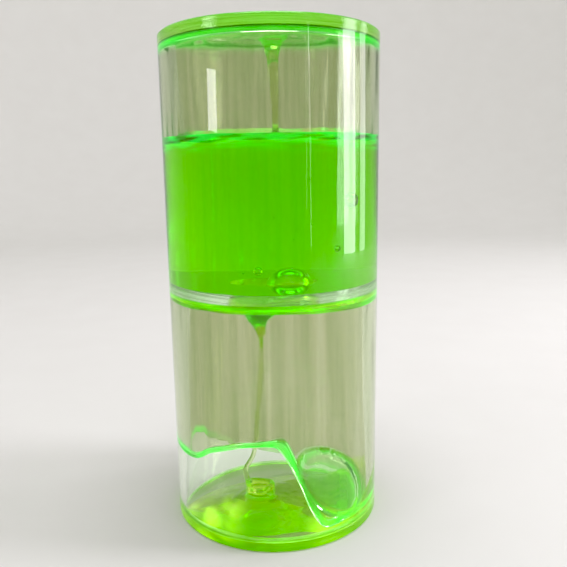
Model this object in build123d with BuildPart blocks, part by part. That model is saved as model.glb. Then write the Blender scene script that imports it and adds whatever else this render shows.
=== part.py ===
"""A sealed desk tube: two clear acrylic chambers, one above the other, that a thick green goo drains between.

Frame: millimetres, +Z up, origin at the centre of the face that the tube stands on. -Y is the front.
The rigid pieces are flat acrylic discs cemented to a thick-walled tube, and a divider with a round flow
hole. The goo is one body of liquid, kept here as the separate regions that it has formed.
"""

import os

from build123d import *

os.makedirs("parts", exist_ok=True)

# Acrylic shell
HEIGHT = 144.0
OUTER_RADIUS = 32.0
WALL = 4.5
DISC = 3.0  # thickness of the two end discs and of the divider
CEMENT = 0.15  # thickness of every cemented joint
EDGE_BREAK = 0.4
FLOW_HOLE_RADIUS = 9.5

INNER_RADIUS = OUTER_RADIUS - WALL
FLOOR = DISC
CEILING = HEIGHT - DISC
DIVIDER_LOW = HEIGHT / 2 - DISC / 2
DIVIDER_HIGH = HEIGHT / 2 + DISC / 2
DIVIDER_RADIUS = INNER_RADIUS - CEMENT

# Goo on the walls
WALL_FILM = 0.6
CEILING_FILM = 0.7
FILM_RADIUS = INNER_RADIUS - WALL_FILM
CORNER = 1.5  # fillet of goo where the ceiling film meets the wall

# Goo in the upper chamber
SURFACE = 113.5  # flat level of the goo
MENISCUS_RISE = 2.2
MENISCUS_WIDTH = 5.0
DRIP_X = 1.4
DRIP_ROOT_RADIUS = 5.0
# The drip's radius at each height, from the ceiling down to the goo
DRIP_PROFILE = (
    (DRIP_ROOT_RADIUS, CEILING - CEILING_FILM),
    (3.9, 139.2),
    (2.6, 137.2),
    (1.6, 133.4),
    (1.2, 124.0),
    (1.05, 117.0),
    (1.7, SURFACE),
)

# Goo under the divider
RING_DEPTH = 2.3  # depth of the ring of goo that clings below the divider
RING_WIDTH = 3.2
UNDER_FILM = 0.7

# Air bubbles: centre and radius
RISING_BUBBLE = ((3.6, -1.0, 72.9), 5.2)
SMALL_BUBBLES = (
    ((19.6, -15.2, 97.6), 2.1),
    ((16.2, -20.1, 84.9), 0.9),
    ((-3.6, -14.0, 78.4), 1.2),
)

# Goo that runs down from the flow hole: centre x, y, height z and radius of each round section
FUNNEL = (
    (0.0, 0.0, DIVIDER_LOW - UNDER_FILM, FLOW_HOLE_RADIUS),
    (-1.0, -1.0, 66.5, 8.6),
    (-3.6, -2.4, 63.0, 6.4),
    (-4.8, -3.2, 60.4, 4.2),
    (-4.4, -3.4, 58.4, 1.9),
    (-4.2, -3.4, 56.0, 0.8),
)
# Path of the strand, as x, y and height z
STRAND_RADIUS = 0.8
STRAND = (
    FUNNEL[-1][:3],
    (-4.4, -3.8, 46.0),
    (-5.6, -4.6, 32.0),
    (-6.4, -5.0, 24.0),
    (-7.4, -5.2, 19.5),
    (-9.6, -5.5, 15.5),
    (-8.8, -6.0, 11.6),
)

# Coils of fallen goo: centre x, y, height z and coil radius; the rope of goo is round
ROPE_RADIUS = 1.1
COILS = (
    (-5.2, -6.0, 8.35, 3.6),
    (-5.2, -6.0, 10.2, 3.4),
)

# Goo on the floor: a low mound, and a bank that rises to the right-hand wall
MOUND_CENTRE = (-3.5, -5.0)
MOUND_RADIUS = 22.5
MOUND_HEIGHT = 4.2
MOUND_SPHERE = (MOUND_RADIUS**2 + MOUND_HEIGHT**2) / (2 * MOUND_HEIGHT)
MOUND_SPHERE_Z = FLOOR + MOUND_HEIGHT - MOUND_SPHERE
BANK_FOOT_X = 12.5
BANK_HEIGHT = 14.0
CURTAIN_FOOT = 5.0  # lowest height that the curtain of goo on the wall reaches

# Lower edge of the curtain on the front wall, as x and z from left to right
CURTAIN_FRONT = (
    (-27.0, 24.5),
    (-23.0, 23.8),
    (-18.0, 25.5),
    (-9.0, 29.5),
    (-2.0, 31.4),
    (2.0, 31.2),
    (4.6, 27.2),
    (8.8, 16.7),
    (11.5, 9.0),
    (14.0, CURTAIN_FOOT),
)
# The same edge on the back wall
CURTAIN_BACK = (
    (-27.0, 24.5),
    (-24.0, 19.0),
    (-16.0, 12.5),
    (-9.0, 9.5),
    (0.0, 7.0),
    (12.0, 5.8),
    (27.0, CURTAIN_FOOT),
)

# ---------------------------------------------------------------- acrylic shell

with BuildPart() as outer_tube:
    with BuildSketch(Plane.XY.offset(FLOOR + CEMENT)):
        Circle(OUTER_RADIUS)
        Circle(INNER_RADIUS, mode=Mode.SUBTRACT)
    extrude(amount=CEILING - FLOOR - 2 * CEMENT)
outer_tube.part.label = "outer_tube"
export_step(outer_tube.part, "parts/outer_tube.step")

with BuildPart() as bottom_disc:
    with BuildSketch():
        Circle(OUTER_RADIUS)
    extrude(amount=DISC)
    chamfer(bottom_disc.faces().sort_by(Axis.Z)[0].edges(), EDGE_BREAK)
bottom_disc.part.label = "bottom_disc"
export_step(bottom_disc.part, "parts/bottom_disc.step")

with BuildPart() as top_disc:
    with BuildSketch(Plane.XY.offset(CEILING)):
        Circle(OUTER_RADIUS)
    extrude(amount=DISC)
    chamfer(top_disc.faces().sort_by(Axis.Z)[-1].edges(), EDGE_BREAK)
top_disc.part.label = "top_disc"
export_step(top_disc.part, "parts/top_disc.step")

with BuildPart() as divider_disc:
    with BuildSketch(Plane.XY.offset(DIVIDER_LOW)):
        Circle(DIVIDER_RADIUS)
        Circle(FLOW_HOLE_RADIUS, mode=Mode.SUBTRACT)
    extrude(amount=DISC)
divider_disc.part.label = "divider_disc"
export_step(divider_disc.part, "parts/divider_disc.step")

# ---------------------------------------------------------------- cemented joints

with BuildPart() as bottom_cement_ring:
    with BuildSketch(Plane.XY.offset(FLOOR)):
        Circle(OUTER_RADIUS)
        Circle(INNER_RADIUS, mode=Mode.SUBTRACT)
    extrude(amount=CEMENT)
bottom_cement_ring.part.label = "bottom_cement_ring"
export_step(bottom_cement_ring.part, "parts/bottom_cement_ring.step")

with BuildPart() as top_cement_ring:
    with BuildSketch(Plane.XY.offset(CEILING - CEMENT)):
        Circle(OUTER_RADIUS)
        Circle(INNER_RADIUS, mode=Mode.SUBTRACT)
    extrude(amount=CEMENT)
top_cement_ring.part.label = "top_cement_ring"
export_step(top_cement_ring.part, "parts/top_cement_ring.step")

with BuildPart() as divider_cement_ring:
    with BuildSketch(Plane.XY.offset(DIVIDER_LOW)):
        Circle(INNER_RADIUS)
        Circle(DIVIDER_RADIUS, mode=Mode.SUBTRACT)
    extrude(amount=DISC)
divider_cement_ring.part.label = "divider_cement_ring"
export_step(divider_cement_ring.part, "parts/divider_cement_ring.step")

# ---------------------------------------------------------------- goo in the upper chamber

with BuildPart() as goo_pool_upper:
    with BuildSketch(Plane.XZ):
        with BuildLine():
            Polyline(
                (0, SURFACE),
                (0, DIVIDER_LOW),
                (FLOW_HOLE_RADIUS, DIVIDER_LOW),
                (FLOW_HOLE_RADIUS, DIVIDER_HIGH),
                (INNER_RADIUS, DIVIDER_HIGH),
                (INNER_RADIUS, SURFACE + MENISCUS_RISE),
                (FILM_RADIUS, SURFACE + MENISCUS_RISE),
            )
            Spline(
                (FILM_RADIUS, SURFACE + MENISCUS_RISE),
                (FILM_RADIUS - MENISCUS_WIDTH, SURFACE),
                tangents=((-0.1, -1), (-1, 0)),
            )
            Line((FILM_RADIUS - MENISCUS_WIDTH, SURFACE), (0, SURFACE))
        make_face()
    revolve(axis=Axis.Z)
    for centre, radius in (RISING_BUBBLE, *SMALL_BUBBLES):
        with Locations(centre):
            Sphere(radius, mode=Mode.SUBTRACT)
goo_pool_upper.part.label = "goo_pool_upper"
export_step(goo_pool_upper.part, "parts/goo_pool_upper.step")

with BuildPart() as goo_wall_film:
    with BuildSketch(Plane.XZ):
        with BuildLine():
            Polyline(
                (FILM_RADIUS - CORNER, CEILING - CEILING_FILM),
                (FILM_RADIUS - CORNER, CEILING),
                (INNER_RADIUS, CEILING),
                (INNER_RADIUS, SURFACE + MENISCUS_RISE),
                (FILM_RADIUS, SURFACE + MENISCUS_RISE),
                (FILM_RADIUS, CEILING - CEILING_FILM - CORNER),
            )
            RadiusArc(
                (FILM_RADIUS, CEILING - CEILING_FILM - CORNER),
                (FILM_RADIUS - CORNER, CEILING - CEILING_FILM),
                -CORNER,
            )
        make_face()
    revolve(axis=Axis.Z)
goo_wall_film.part.label = "goo_wall_film"
export_step(goo_wall_film.part, "parts/goo_wall_film.step")

with BuildPart() as goo_ceiling_film:
    with BuildSketch(Plane.XY.offset(CEILING - CEILING_FILM)):
        Circle(FILM_RADIUS - CORNER)
        with Locations((DRIP_X, 0)):
            Circle(DRIP_ROOT_RADIUS, mode=Mode.SUBTRACT)
    extrude(amount=CEILING_FILM)
goo_ceiling_film.part.label = "goo_ceiling_film"
export_step(goo_ceiling_film.part, "parts/goo_ceiling_film.step")

with BuildPart() as goo_drip_upper:
    with BuildSketch(Plane((DRIP_X, 0, 0), x_dir=(1, 0, 0), z_dir=(0, -1, 0))):
        with BuildLine():
            Polyline(DRIP_PROFILE[-1], (0, SURFACE), (0, CEILING), (DRIP_ROOT_RADIUS, CEILING), DRIP_PROFILE[0])
            Spline(*DRIP_PROFILE)
        make_face()
    revolve(axis=Axis((DRIP_X, 0, 0), (0, 0, 1)))
goo_drip_upper.part.label = "goo_drip_upper"
export_step(goo_drip_upper.part, "parts/goo_drip_upper.step")

# ---------------------------------------------------------------- goo under the divider

with BuildPart() as goo_divider_film:
    with BuildSketch(Plane.XZ):
        with BuildLine():
            Polyline(
                (INNER_RADIUS - RING_WIDTH, DIVIDER_LOW - UNDER_FILM),
                (FLOW_HOLE_RADIUS, DIVIDER_LOW - UNDER_FILM),
                (FLOW_HOLE_RADIUS, DIVIDER_LOW),
                (INNER_RADIUS, DIVIDER_LOW),
                (INNER_RADIUS, DIVIDER_LOW - RING_DEPTH),
                (FILM_RADIUS, DIVIDER_LOW - RING_DEPTH),
            )
            Spline(
                (FILM_RADIUS, DIVIDER_LOW - RING_DEPTH),
                (INNER_RADIUS - RING_WIDTH, DIVIDER_LOW - UNDER_FILM),
                tangents=((-0.2, 1), (-1, 0.1)),
            )
        make_face()
    revolve(axis=Axis.Z)
goo_divider_film.part.label = "goo_divider_film"
export_step(goo_divider_film.part, "parts/goo_divider_film.step")

with BuildPart() as goo_funnel:
    with BuildSketch(Plane.XY.offset(DIVIDER_LOW)):
        Circle(FLOW_HOLE_RADIUS)
    extrude(amount=-UNDER_FILM)
    for x, y, z, radius in FUNNEL:
        with BuildSketch(Plane((x, y, z))):
            Circle(radius)
    loft()
    with Locations(RISING_BUBBLE[0]):
        Sphere(RISING_BUBBLE[1], mode=Mode.SUBTRACT)
goo_funnel.part.label = "goo_funnel"
export_step(goo_funnel.part, "parts/goo_funnel.step")

with BuildPart() as goo_strand_lower:
    with BuildLine() as strand_path:
        Spline(*STRAND, tangents=((0, 0, -1), (0, 0, -1)))
    with BuildSketch(Plane(STRAND[0], z_dir=(0, 0, -1))):
        Circle(STRAND_RADIUS)
    sweep(path=strand_path.line)
goo_strand_lower.part.label = "goo_strand_lower"
export_step(goo_strand_lower.part, "parts/goo_strand_lower.step")

# ---------------------------------------------------------------- goo in the lower chamber

with BuildPart() as goo_curtain:
    with BuildSketch(Plane.XY.offset(CURTAIN_FOOT)):
        Circle(INNER_RADIUS)
        Circle(FILM_RADIUS, mode=Mode.SUBTRACT)
    extrude(amount=DIVIDER_LOW - RING_DEPTH - CURTAIN_FOOT)
    for edge, reach in ((CURTAIN_FRONT, OUTER_RADIUS), (CURTAIN_BACK, -OUTER_RADIUS)):
        with BuildSketch(Plane.XZ):
            with BuildLine():
                Spline(*edge)
                Polyline(edge[-1], (edge[-1][0], 0), (-OUTER_RADIUS, 0), (-OUTER_RADIUS, edge[0][1]), edge[0])
            make_face()
        extrude(amount=reach, mode=Mode.SUBTRACT)
goo_curtain.part.label = "goo_curtain"
export_step(goo_curtain.part, "parts/goo_curtain.step")

with BuildPart() as goo_coil:
    for x, y, z, radius in COILS:
        with Locations((x, y, z)):
            Torus(radius, ROPE_RADIUS)
goo_coil.part.label = "goo_coil"
export_step(goo_coil.part, "parts/goo_coil.step")

with BuildPart() as goo_pool_lower:
    with Locations((*MOUND_CENTRE, MOUND_SPHERE_Z)):
        Sphere(MOUND_SPHERE)
    with BuildSketch(Plane.XZ):
        with BuildLine():
            Polyline(
                (BANK_FOOT_X, FLOOR),
                (OUTER_RADIUS, FLOOR),
                (OUTER_RADIUS, FLOOR + BANK_HEIGHT),
                (FILM_RADIUS, FLOOR + BANK_HEIGHT),
            )
            Spline(
                (FILM_RADIUS, FLOOR + BANK_HEIGHT),
                (BANK_FOOT_X, FLOOR),
                tangents=((-0.2, -1), (-1, -0.2)),
            )
        make_face()
    extrude(amount=OUTER_RADIUS, both=True)
    with BuildSketch(Plane.XY.offset(FLOOR)):
        Circle(INNER_RADIUS)
    extrude(amount=BANK_HEIGHT, mode=Mode.INTERSECT)
    with BuildSketch(Plane.XY.offset(CURTAIN_FOOT)):
        Circle(INNER_RADIUS)
        Circle(FILM_RADIUS, mode=Mode.SUBTRACT)
    extrude(amount=BANK_HEIGHT, mode=Mode.SUBTRACT)
goo_pool_lower.part.label = "goo_pool_lower"
export_step(goo_pool_lower.part, "parts/goo_pool_lower.step")
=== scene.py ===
"""Looks of a sealed goo tube: a clear acrylic shell, its cemented joints and the green goo inside it.

Sizes are in metres, in the frame of the CAD model: +Z up, origin at the centre of the base, -Y the front.
Goo that lies against a curved acrylic face reaches a hair into it, so that light passes from one to the other
without meeting air, as it does where a liquid wets a wall. It keeps a hair clear of the divider's flat faces.
"""

import bisect
import logging
import math
from collections.abc import Callable, Sequence
from dataclasses import dataclass, field, replace
from enum import Enum
from typing import Any

import bmesh
import bpy
from mathutils import Matrix, Vector, noise


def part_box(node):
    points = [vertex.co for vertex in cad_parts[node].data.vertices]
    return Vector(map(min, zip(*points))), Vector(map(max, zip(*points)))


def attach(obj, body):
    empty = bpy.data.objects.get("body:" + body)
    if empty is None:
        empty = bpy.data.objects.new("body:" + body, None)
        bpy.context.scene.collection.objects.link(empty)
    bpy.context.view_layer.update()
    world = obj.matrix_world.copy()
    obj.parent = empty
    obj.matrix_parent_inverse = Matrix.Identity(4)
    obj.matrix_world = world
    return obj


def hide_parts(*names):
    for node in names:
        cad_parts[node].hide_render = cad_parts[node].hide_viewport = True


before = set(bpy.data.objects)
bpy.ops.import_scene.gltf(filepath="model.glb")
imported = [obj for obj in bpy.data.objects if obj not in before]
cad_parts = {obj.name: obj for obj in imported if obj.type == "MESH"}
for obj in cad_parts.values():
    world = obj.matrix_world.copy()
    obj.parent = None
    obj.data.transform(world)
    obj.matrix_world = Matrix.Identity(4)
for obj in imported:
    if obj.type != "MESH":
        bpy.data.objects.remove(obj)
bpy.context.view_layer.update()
LOG = logging.getLogger("goo_tube")

MM = 0.001
BODY = "root"
WETTING = 0.03 * MM  # how far goo and cement reach into the acrylic that they touch
HAIR_GAP = 0.02 * MM  # clearance where two flat faces lie on each other
ROUND = 192  # steps in a full turn
GLOW = "glow"  # name of the attribute that says how brightly the goo's painted glow shines
SEAM = 0.0005 * MM  # how near each other two points count as one
SHARP = math.radians(38)  # faces that meet more sharply than this show an edge
ROUNDING_SHARE = 0.4  # the most of a side that the rounding of one corner takes
GOO_REFRACTION = 1.43
WETTED_SHINE = 0.05  # how strongly a face mirrors the room where goo wets it
DIM = 0.6  # brightness of an even painted glow where the streaks are dark
EVEN = math.inf  # length of a wave along an axis on which a pattern doesn't change

Point = tuple[float, float]
Colour = tuple[float, float, float]
Ball = tuple[float, float, float, float]  # middle and radius, in millimetres
Field = Callable[[Vector], float]


class Slot(Enum):
    """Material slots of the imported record."""

    ACRYLIC = "clear_acrylic"
    CEMENT = "acrylic_cement"
    GOO = "green_goo"
    FILM = "goo_film"


class Streak(Enum):
    """The way in which a streaky pattern runs, as its stretch along X, Y and Z in turns per metre."""

    DOWN_THE_WALL = (420.0, 420.0, 14.0)
    ROUND_THE_RIM = (45.0, 45.0, 3600.0)
    CLOUDY = (160.0, 160.0, 160.0)


# -------- shapes


def blend(low: float, high: float, value: float) -> float:
    """Give a smooth step.

    Args:
        low: value at which the step starts.
        high: value at which the step ends; it may be the lower of the two.
        value: where the step is read.

    Returns:
        A number from 0 to 1.
    """
    place = min(max((value - low) / (high - low), 0.0), 1.0)
    return place * place * (3.0 - 2.0 * place)


def through(points: Sequence[Sequence[float]], steps: int) -> list[Vector]:
    """Run a smooth line through a few points.

    Args:
        points: the points to pass through, of two or more numbers each.
        steps: how many pieces each stretch between two points is cut into.

    Returns:
        The points of the smooth line.
    """
    knots = [Vector(point) for point in (points[0], *points, points[-1])]
    line = []
    for before, start, end, after in zip(knots, knots[1:], knots[2:], knots[3:]):
        for step in range(steps):
            t = step / steps
            line.append(
                0.5
                * (
                    2.0 * start
                    + (end - before) * t
                    + (2.0 * before - 5.0 * start + 4.0 * end - after) * t**2
                    + (3.0 * start - before - 3.0 * end + after) * t**3
                )
            )
    return [*line, knots[-1]]


def rounded(corners: Sequence[Point], radius: float, steps: int) -> list[Point]:
    """Round every corner of a closed outline.

    Args:
        corners: the outline's corners in order.
        radius: how far from a corner its rounding starts.
        steps: how many pieces each rounding has.

    Returns:
        The outline with a small curve at each corner.
    """
    line: list[Point] = []
    count = len(corners)
    for index, corner in enumerate(corners):
        here = Vector(corner)
        back = Vector(corners[index - 1]) - here
        ahead = Vector(corners[(index + 1) % count]) - here
        start = here + back.normalized() * min(radius, back.length * ROUNDING_SHARE)
        end = here + ahead.normalized() * min(radius, ahead.length * ROUNDING_SHARE)
        for step in range(steps + 1):
            t = step / steps
            point = start * (1 - t) ** 2 + here * (2 * t * (1 - t)) + end * t**2
            line.append((point.x, point.y))
    return line


def waves(at: Sequence[float], lengths: Sequence[float], shift: float = 0.0) -> float:
    """Read smooth noise at a place.

    Args:
        at: the place.
        lengths: how long a wave is along X, Y and Z, in the units of the place.
        shift: step up through the noise, which gives another pattern.

    Returns:
        A number between -1 and 1.
    """
    x, y, z = (part / length for part, length in zip(at, lengths))
    return noise.noise(Vector((x, y, z + shift)))


def ladder(start: Point, end: Point, steps: int) -> list[Point]:
    """Divide a straight line, leaving its last point out.

    Args:
        start: the first point.
        end: the point that the line runs to.
        steps: how many pieces the line is cut into.

    Returns:
        The points from start up to the last one before end.
    """
    first, last = Vector(start), Vector(end)
    return [tuple(first.lerp(last, step / steps)) for step in range(steps)]


def turn(bm: bmesh.types.BMesh, outline: Sequence[Point], closed: bool, steps: int = ROUND) -> None:
    """Turn an outline into a round body about the Z axis.

    Args:
        bm: the mesh to add to.
        outline: radius and height of each point.
        closed: whether the outline is a loop clear of the axis, or starts and ends on the axis.
        steps: how many steps a full turn has.
    """
    verts = [bm.verts.new((radius, 0.0, height)) for radius, height in outline]
    pairs = list(zip(verts, verts[1:]))
    if closed:
        pairs.append((verts[-1], verts[0]))
    edges = [bm.edges.new(pair) for pair in pairs]
    bmesh.ops.spin(
        bm, geom=verts + edges, cent=(0, 0, 0), axis=(0, 0, 1), angle=math.tau, steps=steps, use_merge=True
    )
    bmesh.ops.remove_doubles(bm, verts=bm.verts, dist=SEAM)
    bmesh.ops.recalc_face_normals(bm, faces=bm.faces)


def loft(
    bm: bmesh.types.BMesh, sections: Sequence[tuple[Vector, float]], steps: int, level: bool = False
) -> None:
    """Skin a line of round sections and close both ends.

    Args:
        bm: the mesh to add to.
        sections: centre and radius of each section.
        steps: how many corners each section has.
        level: whether the sections lie level, rather than square to the line.
    """
    loops = []
    for index, (centre, radius) in enumerate(sections):
        before = sections[max(index - 1, 0)][0]
        after = sections[min(index + 1, len(sections) - 1)][0]
        tilt = Matrix() if level else (before - after).to_track_quat("Z", "Y").to_matrix().to_4x4()
        made = bmesh.ops.create_circle(
            bm, segments=steps, radius=radius, matrix=Matrix.Translation(centre) @ tilt, cap_ends=False
        )
        loops.append({edge for vert in made["verts"] for edge in vert.link_edges})
    for upper, lower in zip(loops, loops[1:]):
        bmesh.ops.bridge_loops(bm, edges=list(upper | lower))
    bmesh.ops.edgeloop_fill(bm, edges=list(loops[0]))
    bmesh.ops.edgeloop_fill(bm, edges=list(loops[-1]))
    bmesh.ops.recalc_face_normals(bm, faces=bm.faces)


def hollow(bm: bmesh.types.BMesh, centre: Sequence[float], size: Sequence[float], steps: int) -> None:
    """Add a round air bubble, with its skin facing the air inside it.

    Args:
        bm: the mesh of the goo round the bubble.
        centre: the bubble's middle.
        size: its half sizes across, above and below the middle.
        steps: how many steps it has round its waist.
    """
    across, above, below = size
    made = bmesh.ops.create_uvsphere(bm, u_segments=steps, v_segments=steps // 2, radius=1.0)
    for vert in made["verts"]:
        rise = above if vert.co.z > 0 else below
        vert.co = Vector((vert.co.x * across, vert.co.y * across, vert.co.z * rise)) + Vector(centre)
    faces = {face for vert in made["verts"] for face in vert.link_faces}
    bmesh.ops.reverse_faces(bm, faces=list(faces))


# -------- finishes


def fill(tree: bpy.types.NodeTree, node: bpy.types.Node, inputs: dict[str | int, Any]) -> None:
    """Set or connect the inputs of a node.

    Args:
        tree: the nodes that it is one of.
        node: the node.
        inputs: a plain value or the socket that feeds it, for each input by name or number.
    """
    for key, value in inputs.items():
        socket = node.inputs[key]
        if isinstance(value, bpy.types.NodeSocket):
            tree.links.new(value, socket)
        else:
            socket.default_value = (*value, 1.0) if socket.type == "RGBA" else value


def add(
    tree: bpy.types.NodeTree, kind: str, inputs: dict[str | int, Any] | None = None, **settings: Any
) -> bpy.types.Node:
    """Add a node.

    Args:
        tree: the nodes to add to.
        kind: what sort of shader node it is.
        inputs: its inputs, as fill takes them.
        settings: its own settings, by name.

    Returns:
        The new node.
    """
    node = tree.nodes.new(f"ShaderNode{kind}")
    for name, value in settings.items():
        setattr(node, name, value)
    fill(tree, node, inputs or {})
    return node


def mix(
    tree: bpy.types.NodeTree,
    mask: bpy.types.NodeSocket,
    low: Colour | bpy.types.NodeSocket,
    high: Colour | bpy.types.NodeSocket,
) -> bpy.types.NodeSocket:
    """Mix two colours by a mask.

    Args:
        tree: the nodes to add to.
        mask: socket that runs from 0 to 1.
        low: colour, or socket, where the mask is 0.
        high: colour, or socket, where the mask is 1.

    Returns:
        The mixed colour's socket.
    """
    colour_a, colour_b, colour_out = 6, 7, 2  # places of the colour sockets, whose names others share
    node = add(tree, "Mix", data_type="RGBA")
    fill(tree, node, {"Factor": mask, colour_a: low, colour_b: high})
    return node.outputs[colour_out]


def streak_group() -> bpy.types.NodeTree:
    """Build the shared streak pattern: two sizes of stretched noise, as a mask and as a bumped normal.

    Returns:
        The node group, made once.
    """
    known = bpy.data.node_groups.get("streaks")
    if known:
        return known
    tree = bpy.data.node_groups.new("streaks", "ShaderNodeTree")
    for name, kind, default in (
        ("Stretch", "NodeSocketVector", (1.0, 1.0, 1.0)),
        ("Contrast", "NodeSocketFloat", 1.0),
        ("Bump", "NodeSocketFloat", 0.1),
    ):
        socket = tree.interface.new_socket(name, in_out="INPUT", socket_type=kind)
        socket.default_value = default
    tree.interface.new_socket("Mask", in_out="OUTPUT", socket_type="NodeSocketFloat")
    tree.interface.new_socket("Normal", in_out="OUTPUT", socket_type="NodeSocketVector")
    entry, leave = tree.nodes.new("NodeGroupInput"), tree.nodes.new("NodeGroupOutput")
    spot = add(tree, "TexCoord").outputs["Object"]
    stretch = add(tree, "VectorMath", {0: spot, 1: entry.outputs["Stretch"]}, operation="MULTIPLY").outputs[0]
    broad = add(tree, "TexNoise", {"Vector": stretch, "Scale": 0.6, "Detail": 3.0}).outputs["Fac"]
    fine = add(tree, "TexNoise", {"Vector": stretch, "Scale": 2.7, "Detail": 2.0}).outputs["Fac"]
    fine_share, middle = 0.35, 0.5
    both = add(tree, "Math", {0: fine, 1: fine_share, 2: broad}, operation="MULTIPLY_ADD").outputs[0]
    centred = add(tree, "Math", {0: both, 1: middle * (1.0 + fine_share)}, operation="SUBTRACT").outputs[0]
    spread = {0: centred, 1: entry.outputs["Contrast"], 2: middle}
    mask = add(tree, "Math", spread, operation="MULTIPLY_ADD", use_clamp=True).outputs[0]
    relief = {"Height": mask, "Strength": entry.outputs["Bump"], "Distance": 0.2 * MM}
    fill(tree, leave, {"Mask": mask, "Normal": add(tree, "Bump", relief).outputs["Normal"]})
    return tree


@dataclass(frozen=True)
class Finish:
    """A see-through finish with a streaky colour, roughness and surface, and an even inner colour.

    Attributes:
        name: the material's name.
        light: colour where the streaks are light.
        dark: colour where the streaks are dark.
        smooth: roughness where the streaks are light.
        rough: roughness where the streaks are dark.
        refraction: index of refraction.
        clearness: how much of the light passes into the piece, from 0 to 1.
        streak: the way that the streaks run.
        contrast: strength of the streaks.
        bump: strength of the streaks' relief.
        thick: colour mixed in by the glow attribute, painted light: the vivid green where the goo is thick
            and glows, and its painted highlights.
        glow: colour of the painted glow that thick goo gives off.
        base_glow: colour of a painted glow that the whole surface gives off.
        depth: colour that light takes on its way through, if it takes one.
        density: how fast it takes that colour, per metre.
        shine: how strongly the face mirrors the room; a face that liquid wets hardly does.
    """

    name: str
    light: Colour
    dark: Colour
    smooth: float = 0.01
    rough: float = 0.06
    refraction: float = 1.49
    clearness: float = 1.0
    streak: Streak = Streak.CLOUDY
    contrast: float = 2.0
    bump: float = 0.02
    thick: Colour | None = None
    glow: Colour = (0.0, 0.0, 0.0)
    base_glow: Colour = (0.0, 0.0, 0.0)
    depth: Colour | None = None
    density: float = 0.0
    shine: float = 0.5

    def material(self) -> bpy.types.Material:
        """Build the material, once.

        Returns:
            The material.
        """
        known = bpy.data.materials.get(self.name)
        if known:
            return known
        material = bpy.data.materials.new(self.name)
        material.use_nodes = True
        tree = material.node_tree
        pattern = {"Stretch": self.streak.value, "Contrast": self.contrast, "Bump": self.bump}
        streaks = add(tree, "Group", pattern, node_tree=streak_group())
        mask = streaks.outputs["Mask"]
        colour = mix(tree, mask, self.dark, self.light)
        rough = add(tree, "MapRange", {"Value": mask, "To Min": self.rough, "To Max": self.smooth})
        look = {
            "IOR": self.refraction,
            "Transmission Weight": self.clearness,
            "Specular IOR Level": self.shine,
            "Roughness": rough.outputs["Result"],
            "Normal": streaks.outputs["Normal"],
        }
        # Painted light: the glow attribute mixes a vivid colour and a glow into the goo, and base_glow makes
        # a whole face glow.
        if self.thick is not None:
            shining = add(tree, "Attribute", attribute_name=GLOW).outputs["Fac"]
            colour = mix(tree, shining, colour, self.thick)
            look["Emission Color"] = mix(tree, shining, self.base_glow, self.glow)
        elif max(self.base_glow) > 0:
            dimmed = tuple(DIM * part for part in self.base_glow)
            look["Emission Color"] = mix(tree, mask, dimmed, self.base_glow)
        if "Emission Color" in look:
            look["Emission Strength"] = 1.0
        fill(tree, tree.nodes["Principled BSDF"], {**look, "Base Color": colour})
        if self.depth is not None:
            inside = add(tree, "VolumeAbsorption", {"Color": self.depth, "Density": self.density})
            fill(tree, tree.nodes["Material Output"], {"Volume": inside.outputs["Volume"]})
        return material


ACRYLIC = Finish(
    "polished_acrylic", light=(0.98, 1.0, 0.985), dark=(0.955, 0.975, 0.96), smooth=0.0, rough=0.03
)
TUBE = replace(ACRYLIC, name="acrylic_tube", depth=(0.37, 1.0, 0.0), density=10.0, shine=0.4)
WET_ACRYLIC = replace(ACRYLIC, name="acrylic_behind_goo", shine=WETTED_SHINE)
# The lower disc and its wetted face glow faintly: painted light that brightens the floor seen through the
# glass.
BASE = replace(ACRYLIC, name="acrylic_base", base_glow=(0.05, 0.075, 0.025))
WET_BASE = replace(BASE, name="acrylic_base_behind_goo", shine=WETTED_SHINE)
# Painted light: the rim's green colour and faint glow stand for the goo's light carried round the clear disc;
# its streaks, roughness and bumps follow the lathe's marks.
RIM = Finish(
    "turned_acrylic_rim",
    light=(0.62, 0.88, 0.34),
    dark=(0.34, 0.64, 0.10),
    smooth=0.0,
    rough=0.10,
    clearness=0.92,
    streak=Streak.ROUND_THE_RIM,
    contrast=3.4,
    bump=0.08,
    base_glow=(0.025, 0.04, 0.0),
)
CEMENT = Finish(
    "solvent_cement", light=(0.92, 1.0, 0.90), dark=(0.72, 0.92, 0.66), rough=0.2, contrast=3.0, shine=0.1
)
# The lower joint glows green: painted light that stands for the goo's light in it.
LIT_CEMENT = replace(CEMENT, name="solvent_cement_lit_by_goo", base_glow=(0.05, 0.16, 0.01))
# In the goo finishes below, thick, glow and base_glow are painted light: the goo's glow where it is thick,
# and its painted highlights.
POOL = Finish(
    "goo_in_depth",
    light=(0.96, 1.0, 0.52),
    dark=(0.70, 0.93, 0.30),
    smooth=0.01,
    rough=0.05,
    refraction=GOO_REFRACTION,
    streak=Streak.DOWN_THE_WALL,
    contrast=2.4,
    bump=0.04,
    thick=(0.25, 0.98, 0.24),
    glow=(0.0, 0.40, 0.06),
    base_glow=(0.0, 0.004, 0.0),
    depth=(0.775, 0.977, 0.0),
    density=165.0,
    shine=0.1,
)
THICK = Finish(
    "goo_in_lumps",
    light=(0.90, 0.97, 0.34),
    dark=(0.58, 0.80, 0.10),
    smooth=0.0,
    rough=0.05,
    refraction=GOO_REFRACTION,
    contrast=2.4,
    bump=0.14,
    thick=(0.35, 0.98, 0.15),
    glow=(0.15, 0.26, 0.0),
    base_glow=(0.012, 0.02, 0.0),
    depth=(0.77, 0.975, 0.01),
    density=300.0,
)
RING = replace(THICK, name="goo_under_the_divider", glow=(0.05, 0.34, 0.01))
BULGE = replace(THICK, name="goo_in_the_bulge", bump=0.3, density=480.0)
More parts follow.
